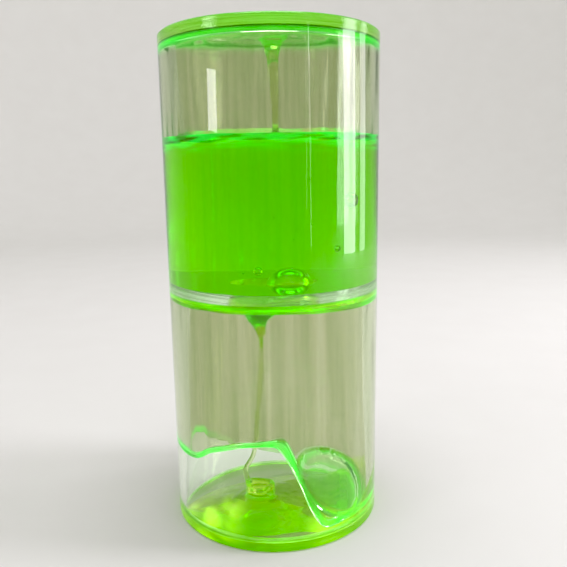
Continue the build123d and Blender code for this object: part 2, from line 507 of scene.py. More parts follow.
# Its yellow-green glow colour paints the highlight at the left of the pool.
FLOOR_GOO = replace(THICK, name="goo_on_the_floor", glow=(0.36, 0.44, 0.05))
ROPE = replace(THICK, name="goo_in_coils", density=110.0, bump=0.03, base_glow=(0.01, 0.02, 0.0))
FILM = Finish(
    "goo_on_the_wall",
    light=(0.80, 0.77, 0.66),
    dark=(0.60, 0.62, 0.46),
    smooth=0.01,
    rough=0.06,
    refraction=GOO_REFRACTION,
    streak=Streak.DOWN_THE_WALL,
    contrast=2.6,
    bump=0.09,
    thick=(0.22, 0.92, 0.16),
    glow=(0.0, 0.34, 0.03),
    base_glow=(0.0, 0.004, 0.0),
)
CEILING_FILM = replace(
    FILM, name="goo_on_the_ceiling", light=(0.74, 0.80, 0.46), dark=(0.50, 0.60, 0.26), streak=Streak.CLOUDY
)
FILM_AT_WALL = replace(FILM, name="goo_that_wets_the_wall", shine=WETTED_SHINE)
THREAD = Finish(
    "goo_in_threads",
    light=(0.88, 0.91, 0.66),
    dark=(0.68, 0.76, 0.40),
    smooth=0.0,
    rough=0.02,
    refraction=GOO_REFRACTION,
    thick=(0.35, 0.80, 0.12),
    glow=(0.02, 0.10, 0.0),
    base_glow=(0.0, 0.01, 0.0),
)


def place(
    node: str,
    bm: bmesh.types.BMesh,
    slot: Slot,
    finishes: Sequence[Finish],
    glow: Field | None = None,
    reach: float | None = None,
) -> None:
    """Make a piece from its mesh, hide its CAD node and hang the piece on the body.

    Args:
        node: the CAD node.
        bm: the piece's mesh, which is freed.
        slot: the record's material slot.
        finishes: its finishes, in the order that its faces count them.
        glow: how brightly the goo's painted glow shines at each point, if it does.
        reach: radius past which its faces take the second finish, because they wet the acrylic there.
    """
    if reach is not None:
        for face in bm.faces:
            if face.calc_center_median().to_2d().length > reach:
                face.material_index = 1
    if glow is not None:
        layer = bm.verts.layers.float.new(GLOW)
        for vert in bm.verts:
            vert[layer] = glow(vert.co)
    name = f"{node}_wet" if slot in (Slot.GOO, Slot.FILM) else f"{node}_clear"
    mesh = bpy.data.meshes.new(name)
    bm.to_mesh(mesh)
    bm.free()
    for finish in finishes:
        mesh.materials.append(finish.material())
    mesh.shade_smooth()
    mesh.set_sharp_from_angle(angle=SHARP)
    piece = bpy.data.objects.new(name, mesh)
    bpy.context.scene.collection.objects.link(piece)
    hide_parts(node)
    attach(piece, BODY)
    LOG.info("%s: %d faces, for %s", name, len(mesh.polygons), node)


# -------- acrylic shell


@dataclass
class Shell:
    """The rigid pieces: tube, end discs and divider, with the cemented joints between them.

    Attributes:
        edge: rounding of the polished edges.
        corner: width of the edge break on the end discs.
        flow_hole: radius of the hole in the divider.
        edge_joint: height from which a joint runs round a disc's edge, rather than under its face.
        cement_edge: rounding of the cement's edges.
    """

    edge: float = 0.06 * MM
    corner: float = 0.4 * MM
    flow_hole: float = 9.5 * MM
    edge_joint: float = 1.0 * MM
    cement_edge: float = 0.02 * MM

    def build(self) -> None:
        """Build the tube, the discs and the joints."""
        self.ring("outer_tube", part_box("divider_cement_ring")[1].x, TUBE)
        self.end_disc("bottom_disc", up=-1)
        self.end_disc("top_disc", up=1)
        self.ring("divider_disc", self.flow_hole, ACRYLIC)
        for node in ("bottom_cement_ring", "top_cement_ring", "divider_cement_ring"):
            self.joint(node)

    def ring(self, node: str, inner: float, finish: Finish) -> None:
        """Build a round piece with a round hole through it.

        Args:
            node: the CAD node, which gives its outer radius and its height.
            inner: radius of the hole.
            finish: its finish.
        """
        low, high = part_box(node)
        corners = [(inner, low.z), (high.x, low.z), (high.x, high.z), (inner, high.z)]
        bm = bmesh.new()
        turn(bm, rounded(corners, self.edge, 3), closed=True)
        place(node, bm, Slot.ACRYLIC, [finish])

    def end_disc(self, node: str, up: int) -> None:
        """Build an end disc, whose rim keeps the marks of the lathe under a painted green glow.

        Args:
            node: the CAD node.
            up: 1 where the disc's outer face looks up, -1 where it looks down.
        """
        low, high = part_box(node)
        outer, inner = (high.z, low.z) if up > 0 else (low.z, high.z)
        radius = high.x
        broken = outer - up * self.corner
        outline = [
            (0.0, outer),
            (radius - self.corner, outer),
            (radius, broken),
            (radius, inner + up * self.edge),
            (radius - self.edge, inner),
            (0.0, inner),
        ]
        bm = bmesh.new()
        turn(bm, outline, closed=False)
        outer_face, rim, inner_face, level = 0, 1, 2, 0.9
        for face in bm.faces:
            flat = inner_face if face.normal.z * up < 0 else outer_face
            face.material_index = rim if abs(face.normal.z) < level else flat
        finishes = [ACRYLIC, RIM, WET_ACRYLIC] if up > 0 else [BASE, RIM, WET_BASE]
        place(node, bm, Slot.ACRYLIC, finishes)

    def joint(self, node: str) -> None:
        """Build a cemented joint, which reaches a hair into the acrylic on each side.

        Args:
            node: the CAD node.
        """
        low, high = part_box(node)
        outer = high.x
        flat = high.z - low.z < self.edge_joint
        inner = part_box("divider_cement_ring")[1].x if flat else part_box("divider_disc")[1].x - WETTING
        rise = WETTING if flat else -WETTING
        reach = 0.0 if flat else WETTING
        corners = [
            (inner, low.z - rise),
            (outer + reach, low.z - rise),
            (outer + reach, high.z + rise),
            (inner, high.z + rise),
        ]
        bm = bmesh.new()
        turn(bm, rounded(corners, self.cement_edge, 2), closed=True)
        finish = LIT_CEMENT if node.startswith("bottom") else CEMENT
        place(node, bm, Slot.CEMENT, [finish])


# -------- goo in the upper chamber


@dataclass
class UpperGoo:
    """The goo above the divider: pool, film on wall and ceiling, and the drip between them.

    Attributes:
        film: usual thickness of the film on the wall.
        corner: radius of the goo in the corner under the top disc.
        meniscus_width: how far from the wall the goo starts to climb.
        ripple: height of the ripples on the pool.
        drip_x: where the drip hangs.
        drip: the drip's radius and its distance below the ceiling film, from root to pool.
        bubble: middle of the large bubble that comes through the flow hole.
        bubble_size: its half sizes across, above and below the middle.
        beads: middle and radius of the small bubbles.
        wall: radius of the goo's outer face.
        surface: height of the pool's surface, away from the wall.
        shelf: height of the goo's lower face on the divider.
        ceiling: height of the top disc's lower face.
        ceiling_film: height of the lower face of the film on it.
    """

    film: float = 0.42 * MM
    corner: float = 1.5 * MM
    meniscus_width: float = 5.0 * MM
    ripple: float = 0.6 * MM
    drip_x: float = 1.4 * MM
    drip: tuple[Point, ...] = (
        (5.0, 0.0), (3.9, 1.1), (2.6, 3.1), (1.6, 6.9), (1.2, 16.3), (1.05, 23.3), (1.7, 26.85),
    )
    bubble: tuple[float, float, float] = (3.6, -1.0, 72.6)
    bubble_size: tuple[float, float, float] = (5.2, 5.1, 1.8)
    beads: tuple[Ball, ...] = (
        (19.6, -15.2, 97.6, 2.1), (16.2, -20.1, 84.9, 0.9), (-3.6, -14.0, 78.4, 1.2),
        (-7.8, -21.0, 76.2, 0.5), (-7.4, -21.5, 79.0, 0.35), (9.4, -24.0, 103.6, 0.3),
        (0.2, -24.5, 94.0, 0.25), (9.8, -24.0, 92.0, 0.3), (5.0, -24.0, 88.0, 0.25),
    )

    wall: float = field(init=False)
    surface: float = field(init=False)
    shelf: float = field(init=False)
    ceiling: float = field(init=False)
    ceiling_film: float = field(init=False)

    def __post_init__(self) -> None:
        """Read the goo's limits from the frame."""
        self.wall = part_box("goo_pool_upper")[1].x + WETTING
        self.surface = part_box("goo_drip_upper")[0].z
        self.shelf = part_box("divider_disc")[1].z + HAIR_GAP
        self.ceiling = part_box("goo_ceiling_film")[1].z
        self.ceiling_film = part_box("goo_ceiling_film")[0].z

    def build(self) -> None:
        """Build the pool, the films and the drip."""
        self.pool()
        self.wall_film()
        self.ceiling_sheet()
        self.hanging_drip()

    def pool(self) -> None:
        """Build the pool, with its meniscus, ripples and bubbles."""
        low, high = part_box("goo_pool_upper")
        hole = Shell.flow_hole + WETTING
        rise = high.z - self.surface
        shore = self.wall - self.meniscus_width
        finer_from = self.surface - 3.5 * MM
        climb = [
            (shore + self.meniscus_width * t, self.surface + rise * t**3)
            for t in (step / 12 for step in range(12))
        ]
        outline = [
            *ladder((0.0, low.z), (hole, low.z), 6),
            *ladder((hole, low.z), (hole, self.shelf), 4),
            *ladder((hole, self.shelf), (self.wall, self.shelf), 10),
            *ladder((self.wall, self.shelf), (self.wall, finer_from), 20),
            *ladder((self.wall, finer_from), (self.wall, high.z), 14),
            (self.wall, high.z),
            *reversed(climb),
            *ladder((shore, self.surface), (0.0, self.surface), 26)[1:],
            (0.0, self.surface),
        ]
        bm = bmesh.new()
        turn(bm, outline, closed=False)
        for vert in bm.verts:
            x, y, z = vert.co
            if z > self.surface - 0.01 * MM:
                calm = 0.25 + 0.75 * blend(self.wall - 0.2 * MM, shore, math.hypot(x, y))
                broad = waves((x, y, z), (9.0 * MM, 5.0 * MM, EVEN))
                fine = 0.35 * waves((x, y, z), (3.0 * MM, 1.6 * MM, EVEN), 4000.0)
                vert.co.z += self.ripple * (broad + fine) * calm
        hollow(bm, Vector(self.bubble) * MM, Vector(self.bubble_size) * MM, 64)
        for x, y, z, radius in self.beads:
            hollow(bm, Vector((x, y, z)) * MM, Vector((radius, radius, radius)) * MM, 20)
        place("goo_pool_upper", bm, Slot.GOO, [POOL], self.pool_glow)

    def pool_glow(self, point: Vector) -> float:
        """Paint a glow in swirls near the free surface, most at the sides.

        Args:
            point: a place on the pool.

        Returns:
            How brightly it shines, from 0 to 1.
        """
        top = blend(self.surface - 3.2 * MM, self.surface - 0.4 * MM, point.z)
        swirl = blend(-0.45, 0.35, waves(point, (5.0 * MM, 5.0 * MM, 0.8 * MM)))
        side = 0.45 + 0.55 * (abs(point.x) / self.wall) ** 2
        return top * side * swirl

    def wall_film(self) -> None:
        """Build the film that has run down the wall, in streaks, with its fillet under the ceiling."""
        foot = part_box("goo_pool_upper")[1].z
        inner = self.wall - WETTING - self.film
        bend = inner - self.corner
        arc = [
            (bend + self.corner * math.sin(a), self.ceiling_film - self.corner + self.corner * math.cos(a))
            for a in (math.pi / 2 * step / 8 for step in range(9))
        ]
        outline = [
            *ladder((self.wall, foot), (self.wall, self.ceiling), 20),
            (self.wall, self.ceiling + WETTING),
            (bend, self.ceiling + WETTING),
            *arc,
            *ladder(arc[-1], (inner, foot), 20)[1:],
            (inner, foot),
        ]
        bm = bmesh.new()
        turn(bm, outline, closed=True)
        reach = self.wall - 0.1 * MM
        streaks_below = self.ceiling_film - 0.9 * self.corner
        for vert in bm.verts:
            radius = vert.co.to_2d().length
            if radius < reach and vert.co.z < streaks_below:
                swell = 0.75 * self.film * waves(vert.co, (4.0 * MM, 4.0 * MM, 36.0 * MM))
                vert.co.x *= 1 + swell / radius
                vert.co.y *= 1 + swell / radius
        place("goo_wall_film", bm, Slot.FILM, [FILM, FILM_AT_WALL], self.corner_glow, reach)

    def corner_glow(self, point: Vector) -> float:
        """Paint a glow where the goo is thick, in the corner under the ceiling."""
        side = 0.25 + 0.45 * (point.x / self.wall) ** 2
        return side * blend(self.ceiling - 3.0 * MM, self.ceiling - 1.0 * MM, point.z)

    def ceiling_sheet(self) -> None:
        """Build the film under the top disc, a little uneven from below."""
        edge = self.wall - WETTING - self.film - self.corner + 0.05 * MM
        outline = [
            *ladder((0.0, self.ceiling_film), (edge, self.ceiling_film), 20),
            (edge, self.ceiling_film),
            (edge, self.ceiling + WETTING),
            (0.0, self.ceiling + WETTING),
        ]
        bm = bmesh.new()
        turn(bm, outline, closed=False)
        unevenness, pattern = 0.12 * MM, 2 / 3
        for vert in bm.verts:
            if vert.co.z < self.ceiling_film + 0.01 * MM:
                calm = blend(edge, edge - 4.0 * MM, vert.co.to_2d().length)
                vert.co.z -= unevenness * calm * waves(vert.co, (6.0 * MM, 6.0 * MM, EVEN), pattern)
        place("goo_ceiling_film", bm, Slot.FILM, [CEILING_FILM], self.ceiling_glow)

    def ceiling_glow(self, point: Vector) -> float:
        """Paint a glow most round the rim and at the root of the drip, and faintly in spots.

        Args:
            point: a place on the film.

        Returns:
            How brightly it shines, from 0 to 1.
        """
        from_drip = (point.to_2d() - Vector((self.drip_x, 0.0))).length
        root = 0.6 * blend(7.0 * MM, 4.0 * MM, from_drip)
        spots = 0.25 * blend(0.0, 0.35, waves(point, (8.0 * MM, 8.0 * MM, EVEN), 2.5))
        rim = 0.25 * blend(18.0 * MM, 26.0 * MM, point.to_2d().length)
        return max(rim, spots, root)

    def hanging_drip(self) -> None:
        """Build the drip, which thins from the ceiling to the pool."""
        start = self.ceiling_film + 0.05 * MM
        line = through(self.drip, 6)
        side = [(p.x * MM, start - p.y * MM) for p in line]
        outline = [(0.0, start), *side, (0.0, side[-1][1])]
        bm = bmesh.new()
        turn(bm, outline, closed=False, steps=64)
        bmesh.ops.translate(bm, verts=bm.verts, vec=(self.drip_x, 0.0, 0.0))
        place("goo_drip_upper", bm, Slot.GOO, [THREAD], self.drip_glow)

    def drip_glow(self, point: Vector) -> float:
        """Paint a glow at the thick root."""
        return 0.45 * blend(self.ceiling - 4.4 * MM, self.ceiling - 2.6 * MM, point.z)


# -------- goo under the divider


@dataclass
class FallingGoo:
    """The goo that clings under the divider, bulges from the flow hole and falls as a strand.

    Attributes:
        film: thickness of the film under the divider.
        ring_width: how far the ring of goo reaches from the wall.
        ring_sag: how much lower the ring hangs at the right.
        bulge: centre and radius of the bulge's sections, from the hole down.
        strand: centre and radius of the strand's sections, from the bulge to the coil.
    """

    film: float = 0.5 * MM
    ring_width: float = 3.2 * MM
    ring_sag: float = 0.9 * MM
    bulge: tuple[Ball, ...] = (
        (0.0, 0.0, 70.55, 9.5), (-0.2, -0.1, 69.0, 9.4), (-1.2, -1.0, 66.4, 8.0),
        (-3.9, -2.4, 63.2, 5.3), (-5.0, -3.2, 61.2, 3.1), (-4.8, -3.4, 59.6, 1.9),
        (-4.4, -3.4, 58.0, 1.2), (-4.2, -3.4, 56.0, 0.64), (-4.2, -3.4, 53.0, 0.5),
    )
    strand: tuple[Ball, ...] = (
        (-4.2, -3.4, 56.0, 0.42), (-4.4, -3.8, 46.0, 0.56), (-5.6, -4.6, 32.0, 0.66),
        (-6.3, -5.0, 24.0, 0.68), (-7.3, -5.2, 19.5, 0.68), (-9.5, -5.5, 15.5, 0.74),
        (-9.3, -5.9, 13.0, 0.8), (-8.6, -6.0, 11.3, 0.9),
    )

    def build(self) -> None:
        """Build the film, the bulge and the strand."""
        self.divider_film()
        self.tapered("goo_funnel", self.bulge, BULGE, self.bulge_glow, level=True)
        self.tapered("goo_strand_lower", self.strand, THREAD, self.strand_glow)

    def divider_film(self) -> None:
        """Build the film under the divider and the ring of goo at its edge."""
        low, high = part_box("goo_divider_film")
        top = high.z - HAIR_GAP
        wall = high.x + WETTING
        sheet = high.z - self.film
        depth = sheet - low.z
        steepness, lip = 2.2, 0.3 * MM
        hang = [
            (wall - lip - self.ring_width * t, low.z + depth * (1 - (1 - t) ** steepness))
            for t in (step / 14 for step in range(15))
        ]
        outline = [
            (Shell.flow_hole, top),
            (wall, top),
            (wall, low.z + 0.1 * MM),
            *hang,
            *ladder((hang[-1][0] - 0.5 * MM, sheet), (Shell.flow_hole, sheet), 10),
            (Shell.flow_hole, sheet),
        ]
        bm = bmesh.new()
        turn(bm, outline, closed=True)
        for vert in bm.verts:
            if vert.co.z < sheet - 0.4 * MM:
                vert.co.z -= self.ring_sag * blend(0.0, 24.0 * MM, vert.co.x)
                vert.co.z += 0.22 * MM * waves(vert.co, (9.0 * MM, 9.0 * MM, EVEN))
        place("goo_divider_film", bm, Slot.GOO, [RING], self.ring_glow)

    def ring_glow(self, point: Vector) -> float:
        """Paint a glow in the ring at the wall, in streaks and most at the right.

        Args:
            point: a place on the film.

        Returns:
            How brightly it shines, from 0 to 1.
        """
        streak = blend(-0.4, 0.3, waves(point, (12.0 * MM, 12.0 * MM, 0.6 * MM)))
        right = 0.5 + 0.5 * blend(0.0, 20.0 * MM, point.x)
        return right * blend(21.0 * MM, 25.0 * MM, point.to_2d().length) * streak

    @staticmethod
    def tapered(
        node: str, sections: Sequence[Ball], finish: Finish, glow: Field, level: bool = False
    ) -> None:
        """Build a round, tapering run of goo.

        Args:
            node: the CAD node.
            sections: centre and radius of its sections.
            finish: its finish.
            glow: how its painted glow shines.
            level: whether the sections lie level, rather than square to the run.
        """
        line = through(sections, 6)
        bm = bmesh.new()
        loft(bm, [(Vector(p[:3]) * MM, p[3] * MM) for p in line], 48, level)
        place(node, bm, Slot.GOO, [finish], glow)

    def bulge_glow(self, point: Vector) -> float:
        """Paint a faint glow at the tip."""
        return 0.12 * blend(61.8 * MM, 60.6 * MM, point.z) * blend(56.5 * MM, 58.5 * MM, point.z)

    def strand_glow(self, point: Vector) -> float:
        """Paint a glow at the two ends of the strand."""
        upper, lower = blend(51.0 * MM, 56.0 * MM, point.z), blend(14.0 * MM, 11.0 * MM, point.z)
        return max(0.5 * upper, 0.4 * lower)


# -------- goo in the lower chamber


@dataclass
class LowerGoo:
    """The goo below: the curtain on the wall, the coils of the strand and the pool on the floor.

    Attributes:
        film: usual thickness of the curtain.
        bead: thickness of its lower edge.
        bead_width: width of that edge.
        hollow_centre: middle of the hollow in the goo on the right, as degrees round the tube and height.
        hollow_up: step from its middle to its top.
        hollow_right: step from its middle to its right-hand side.
        hollow_lip: extra thickness of the lip round it.
        hem: the curtain's lower edge, as degrees round the tube and height, from the left round the front.
        broad: how many times its usual width that edge is, by degrees.
        coil_centre: middle of the coils.
        coil: radius and height of the rope's line at its lower and upper end.
        turns: number of turns that the rope makes.
        rope: radius of the rope.
        mound_centre: middle of the mound.
        mound: its height.
        hump: extra height of the mound round the coils.
        fold: height of the folds round the coils.
        shore: distance from the mound's middle to the dry edge of the pool, by degrees.
        bank_foot: where the bank begins, to the right.
        bank_end: where it would stand upright, just past the wall.
        bank: its height there.
        hem_foot: where the hem meets the floor.
        bright_left: middle of the painted highlight on the pool.
        wall: radius of the goo's outer face.
        floor: height of the bottom disc's upper face.
        hem_at: the hem's height, from the angle.
        broad_at: how many times its usual width the hem is, from the angle.
    """

    film: float = 0.42 * MM
    bead: float = 1.3 * MM
    bead_width: float = 1.9 * MM
    hollow_centre: Point = (-55.2, 16.5)
    hollow_up: Point = (-4.8, 10.5)
    hollow_right: Point = (21.3, -4.0)
    hollow_lip: float = 0.8 * MM
    hem: tuple[Point, ...] = (
        (-180.0, 22.6), (-162.0, 22.2), (-147.0, 22.5), (-139.0, 23.7), (-131.0, 26.2),
        (-119.0, 28.4), (-109.0, 29.9), (-101.0, 30.5), (-95.0, 30.7), (-90.0, 30.2),
        (-85.8, 27.6), (-80.5, 22.4), (-75.5, 16.3), (-70.5, 9.9), (-62.5, 4.2), (-50.0, 4.0),
        (-30.0, 4.2), (0.0, 5.0), (30.0, 5.4), (60.0, 5.8), (90.0, 7.0), (108.0, 9.3),
        (125.0, 12.3), (142.0, 17.4), (160.0, 22.2), (170.0, 23.3),
    )
    broad: tuple[Point, ...] = (
        (-180.0, 1.45), (-160.0, 1.4), (-140.0, 0.95), (-110.0, 0.8), (-97.0, 0.85), (-90.0, 1.15),
        (-84.5, 1.55), (-78.5, 1.1), (-73.0, 0.8), (-65.0, 1.8), (-54.0, 1.3), (-20.0, 1.0),
        (120.0, 1.0), (150.0, 1.3),
    )
    coil_centre: Point = (-5.2, -6.0)
    coil: tuple[Point, Point] = ((3.7, 6.2), (3.3, 10.6))
    turns: float = 2.6
    rope: float = 1.05
    mound_centre: Point = (-3.5, -5.0)
    mound: float = 3.6
    hump: float = 1.6
    fold: float = 0.16
    shore: tuple[Point, ...] = (
        (-180.0, 22.6), (-150.0, 23.0), (-120.0, 22.4), (-90.0, 21.0), (-62.0, 21.6),
        (-40.0, 31.0), (0.0, 33.0), (45.0, 33.0), (68.0, 25.0), (90.0, 20.5), (120.0, 19.8),
        (150.0, 21.4),
    )
    bank_foot: float = 12.5
    bank_end: float = 27.55
    bank: float = 14.0
    hem_foot: Point = (15.0, -21.5)
    bright_left: Point = (-20.0, -12.0)

    wall: float = field(init=False)
    floor: float = field(init=False)
    hem_at: Callable[[float], float] = field(init=False)
    broad_at: Callable[[float], float] = field(init=False)

    def __post_init__(self) -> None:
        """Read the goo's limits from the frame and make the hem's line."""
        self.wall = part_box("goo_curtain")[1].x + WETTING
        self.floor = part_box("goo_pool_lower")[0].z
        self.hem_at = self.round_the_tube(self.hem)
        self.broad_at = self.round_the_tube(self.broad)

    def build(self) -> None:
        """Build the curtain, the coils and the pool."""
        self.curtain()
        self.coils()
        self.pool()

    @staticmethod
    def round_the_tube(knots: Sequence[Point]) -> Callable[[float], float]:
        """Make a smooth value that depends on the angle round the tube.

        Args:
            knots: degrees and value, in order, over less than a full turn.

        Returns:
            A function of the angle in degrees.
        """
        again = [(degrees + 360.0, height) for degrees, height in knots[:2]]
        line = through([*knots, *again], steps=24)
        turns = [point.x for point in line]

        def value(degrees: float) -> float:
            """Read the value at an angle.

            Args:
                degrees: the angle round the tube.

            Returns:
                The value there.
            """
            here = (degrees - knots[0][0]) % 360.0 + knots[0][0]
            index = min(max(bisect.bisect_right(turns, here), 1), len(line) - 1)
            first, second = line[index - 1], line[index]
            share = (here - first.x) / (second.x - first.x)
            return first.y + share * (second.y - first.y)

        return value

    def curtain(self) -> None:
        """Build the curtain: a film with a thick lower edge that follows the hem."""
        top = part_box("goo_divider_film")[0].z + 0.5 * MM
        rows, crowding = 64, 1.7
        heights = [(step / rows) ** crowding for step in range(rows + 1)]
        outer, inner = 1.0, 0.5
        outline = [*((outer, t) for t in heights), *((inner, t) for t in reversed(heights))]
        bm = bmesh.new()
        turn(bm, outline, closed=True, steps=288)
        feet = {}
        for vert in bm.verts:
            angle = math.degrees(math.atan2(vert.co.y, vert.co.x))
            key = round(angle, 2)
            if key not in feet:
                feet[key] = (self.hem_at(key) * MM, self.lean(key), self.bead_width * self.broad_at(key))
            low, lean, width = feet[key]
            height = low + (top - low) * vert.co.z
            x, y = math.cos(math.radians(angle)), math.sin(math.radians(angle))
            radius = self.wall
            if vert.co.to_2d().length < (outer + inner) / 2:
                swell = 0.45 * waves((x, y, height), (1 / 7, 1 / 7, 50.0 * MM))
                radius -= WETTING + self.thickness(angle, height, (height - low) * lean / width, swell)
            vert.co = Vector((x * radius, y * radius, height))
        place("goo_curtain", bm, Slot.FILM, [FILM, FILM_AT_WALL], self.curtain_glow, self.wall - 0.02 * MM)

    def lean(self, angle: float) -> float:
        """Measure how the hem slopes.

        Args:
            angle: degrees round the tube.

        Returns:
            The cosine of its slope, which turns a height above it into a distance from it.
        """
        side = 2.5
        run = (self.wall - WETTING) * math.radians(2 * side)
        return 1.0 / math.hypot(1.0, (self.hem_at(angle + side) - self.hem_at(angle - side)) * MM / run)

    def thickness(self, angle: float, height: float, across: float, swell: float) -> float:
        """Work out how thick the curtain is.

        Args:
            angle: degrees round the tube.
            height: height above the base.
            across: distance from the hem, as a share of its edge's width.
            swell: how much thicker than usual the film is, as a share.

        Returns:
            The thickness in metres.
        """
        crown = math.sqrt(max(1.0 - (2.0 * across - 0.9) ** 2 / 0.9, 0.0)) if across < 0.95 else 0.0
        bead = self.bead * (0.5 + 0.5 * self.in_front(angle)) * crown
        film = self.film * (1.0 + swell) + self.hollow_lip * self.on_lip(angle, height)
        return max(bead, film * blend(0.0, 0.3, across), 0.02 * MM)

    @staticmethod
    def in_front(angle: float) -> float:
        """Tell the front of the tube, where the hem is thick, from its back, by degrees round the tube."""
        return blend(10.0, -25.0, angle) * blend(-179.0, -160.0, angle)

    def in_hollow(self, angle: float, height: float) -> float:
        """Measure how far a place on the wall is from the middle of the hollow.

        Args:
            angle: degrees round the tube.
            height: height above the base.

        Returns:
            0 in its middle and 1 on its lip.
        """
        off = Vector((angle - self.hollow_centre[0], height / MM - self.hollow_centre[1]))
        up, right = Vector(self.hollow_up), Vector(self.hollow_right)
        area = right.x * up.y - right.y * up.x
        across = (off.x * up.y - off.y * up.x) / area
        along = (right.x * off.y - right.y * off.x) / area
        return math.hypot(across, along)

    def on_lip(self, angle: float, height: float) -> float:
        """Say how near a place on the wall is to the hollow's lip, from 0 to 1."""
        lip_width = 0.09
        return math.exp(-(((self.in_hollow(angle, height) - 1.0) / lip_width) ** 2))

    def curtain_glow(self, point: Vector) -> float:
        """Paint a glow along the thick lower edge in front, and faintly round the hollow.

        Args:
            point: a place on the curtain.

        Returns:
            How brightly it shines, from 0 to 1.
        """
        angle = math.degrees(math.atan2(point.y, point.x))
        off = (point.z - self.hem_at(angle) * MM) * self.lean(angle) / self.broad_at(angle)
        patch = 0.55 + 0.45 * blend(-0.2, 0.25, waves((angle, 0.0, 0.0), (11.0, EVEN, EVEN), 2.0))
        thick = 0.2 + 0.8 * max(self.in_front(angle), blend(140.0, 160.0, abs(angle)))
        edge = thick * patch * blend(self.bead_width, 0.9 * MM, off)
        inside = 0.26 * blend(1.1, 0.7, self.in_hollow(angle, point.z))
        return max(edge, inside, 0.5 * self.on_lip(angle, point.z))

    def coils(self) -> None:
        """Build the rope of goo that has coiled on itself, leading up into the strand."""
        (low_radius, low), (high_radius, high) = self.coil
        sections = []
        count = round(self.turns * 28)  # 28 sections a turn
        for step in range(count + 1):
            t = step / count
            angle = math.pi - math.tau * self.turns * (1.0 - t)
            radius = low_radius + (high_radius - low_radius) * t + 0.25 * math.sin(3.1 * angle)
            centre = Vector(
                (
                    self.coil_centre[0] + radius * math.cos(angle) + 0.2 * math.sin(1.7 * angle),
                    self.coil_centre[1] + radius * math.sin(angle),
                    low + (high - low) * t,
                )
            )
            sections.append((centre * MM, self.rope * MM * (0.92 + 0.08 * math.cos(2.3 * angle))))
        bm = bmesh.new()
        loft(bm, sections, 20)
        # The coils take an even painted glow.
        place("goo_coil", bm, Slot.GOO, [ROPE], lambda point: 0.15)

    def depth(self, x: float, y: float, share: float) -> float:
        """Work out the goo's height above the floor.

        Args:
            x: place to the right, in millimetres.
            y: place to the back, in millimetres.
            share: how far the place is towards the pool's edge, from 0 to 1.

        Returns:
            The height in millimetres.
        """
        mound = self.mound * (1.0 - share**2)
        near = math.hypot(x - self.coil_centre[0], y - self.coil_centre[1])
        hump = self.hump * math.exp(-((near / 7.0) ** 2))
        bent = 0.8 * math.sin(math.atan2(y, x) * 2)
        fold = self.fold * math.sin(near * 1.9 + bent) * math.exp(-((near / 8.0) ** 2))
        run = min(max((x - self.bank_foot) / (self.bank_end - self.bank_foot), 0.0), 1.0)
        bank = self.bank * (1.0 - math.sqrt(1.0 - run * run))
        swell = 0.55 * waves((x, y, 0.0), (5.0, 8.0, EVEN), 3.0) + 0.2 * waves((x, y, 9.0), (2.6, 2.6, 2.6))
        return mound + (hump + fold) * (1.0 - share**4) + bank + swell * (1.0 - share**2)

    def pool(self) -> None:
        """Build the pool: a mound on the floor that rises to the right-hand wall."""
        rows, crowding = 56, 1.4
        shares = [1.0 - (1.0 - step / rows) ** crowding for step in range(rows + 1)]
        outline = [*((t, 1.0) for t in shares), *((t, 0.0) for t in reversed(shares))]
        bm = bmesh.new()
        turn(bm, outline, closed=False, steps=256)
        shore = self.round_the_tube(self.shore)
        wall = self.wall / MM
        centre = Vector(self.mound_centre)
        edges = {}
        for vert in bm.verts:
            share = min(vert.co.to_2d().length, 1.0)
            angle = math.atan2(vert.co.y, vert.co.x)
            heading = Vector((math.cos(angle), math.sin(angle)))
            key = round(angle, 4)
            if key not in edges:
                along = centre.dot(heading)
                to_wall = -along + math.sqrt(along * along + wall * wall - centre.length_squared)
                edges[key] = min(shore(math.degrees(angle)), to_wall)
            spot = centre + heading * edges[key] * share
            top = self.floor + max(self.depth(spot.x, spot.y, share), 0.04) * MM
            vert.co = Vector((spot.x * MM, spot.y * MM, top if vert.co.z > 0.5 else self.floor - WETTING))
        place("goo_pool_lower", bm, Slot.GOO, [FLOOR_GOO], self.pool_glow)

    def pool_glow(self, point: Vector) -> float:
        """Paint a glow at the foot of the curtain and along the right-hand wall, and a highlight in swirls at
        the left.

        Args:
            point: a place on the pool.

        Returns:
            How brightly it shines, from 0 to 1.
        """
        spot = point.to_2d()
        at_wall = 0.3 * blend(self.wall - 2.2 * MM, self.wall - 0.4 * MM, spot.length)
        foot = 0.6 * blend(9.0 * MM, 3.0 * MM, (spot - Vector(self.hem_foot) * MM).length)
        left = blend(13.0 * MM, 4.0 * MM, (spot - Vector(self.bright_left) * MM).length)
        swirl = blend(-0.3, 0.4, waves((point.x, point.y, 0.0), (4.0 * MM, 9.0 * MM, EVEN), 1000.0))
        return max(at_wall * blend(0.0, 15.0 * MM, point.x), foot, left * swirl)


# -------- studio


@dataclass(frozen=True)
class Panel:
    """A soft light.

    Attributes:
        name: its name.
        size: its width and height.
        height: height of its middle.
        power: its power in watts.
        azimuth: degrees round the tube, from the front towards the right.
        away: distance from the tube.
    """

    name: str
    size: tuple[float, float]
    height: float
    power: float
    azimuth: float = 0.0
    away: float = 0.0


